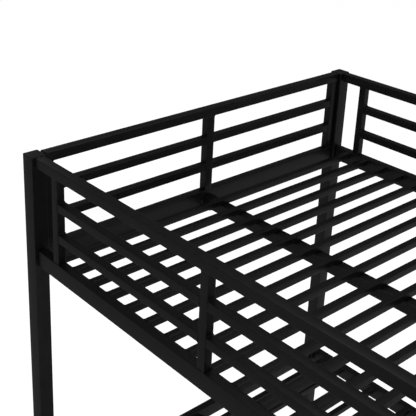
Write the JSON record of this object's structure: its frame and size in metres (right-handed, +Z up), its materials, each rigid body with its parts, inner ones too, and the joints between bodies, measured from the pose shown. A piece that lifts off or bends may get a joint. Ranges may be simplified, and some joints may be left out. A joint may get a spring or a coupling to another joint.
{
  "type": "bunk bed with ladder",
  "caption": "Black steel bunk bed: two slatted decks on square posts, guard rails round the upper deck and a ladder hooked on one side.",
  "frame": {"origin": "middle of the whole bed in plan, on the floor", "axes": "+X along the bed towards the ladder end, +Y from the ladder side to the back, +Z up"},
  "size_m": [2.017, 1.46, 1.64],
  "materials": {
    "black_steel": "satin black powder coat on rolled square tube",
    "black_plastic": "moulded black plastic",
    "black_bolts": "black oxide, low round heads"
  },
  "bodies": {
    "bed_frame": {"back_guard_mid_rails": "black_steel", "back_guard_top_rail": "black_steel", "back_guard_upright_1": "black_steel", "back_guard_upright_2": "black_steel", "back_guard_upright_3": "black_steel", "back_guard_upright_4": "black_steel", "front_guard_mid_rails": "black_steel", "front_guard_return": "black_steel", "front_guard_top_rail": "black_steel", "front_guard_upright_1": "black_steel", "front_guard_upright_2": "black_steel", "front_guard_upright_3": "black_steel", "guard_bolts": "black_bolts", "guard_end_caps": "black_plastic", "guard_hook_plates": "black_steel", "left_guard_mid_rails": "black_steel", "left_guard_top_rail": "black_steel", "left_guard_upright_back": "black_steel", "left_guard_upright_center": "black_steel", "left_guard_upright_front": "black_steel", "lower_beam_saddles": "black_steel", "lower_center_beam": "black_steel", "lower_end_rail_left": "black_steel", "lower_end_rail_right": "black_steel", "lower_rail_hook_plates": "black_steel", "lower_side_rail_back": "black_steel", "lower_side_rail_front": "black_steel", "lower_slats": "black_steel", "post_back_left": "black_steel", "post_back_right": "black_steel", "post_caps": "black_plastic", "post_feet": "black_plastic", "post_front_left": "black_steel", "post_front_right": "black_steel", "right_guard_mid_rails": "black_steel", "right_guard_top_rail": "black_steel", "right_guard_upright_back": "black_steel", "right_guard_upright_center": "black_steel", "right_guard_upright_front": "black_steel", "upper_beam_saddles": "black_steel", "upper_center_beam": "black_steel", "upper_end_rail_left": "black_steel", "upper_end_rail_right": "black_steel", "upper_rail_hook_plates": "black_steel", "upper_side_rail_back": "black_steel", "upper_side_rail_front": "black_steel", "upper_slats": "black_steel"},
    "ladder": {"ladder_bolts": "black_bolts", "ladder_feet": "black_plastic", "ladder_hooks": "black_steel", "ladder_rung_1": "black_steel", "ladder_rung_2": "black_steel", "ladder_rung_3": "black_steel", "ladder_rung_4": "black_steel", "ladder_rung_5": "black_steel", "ladder_stile_caps": "black_plastic", "ladder_stile_left": "black_steel", "ladder_stile_right": "black_steel"}
  },
  "joints": [
    {"name": "ladder_lift", "type": "slide", "parent": "bed_frame", "child": "ladder", "axis": [0, 0, 1], "range_m": [0, 0.032]}
  ]
}
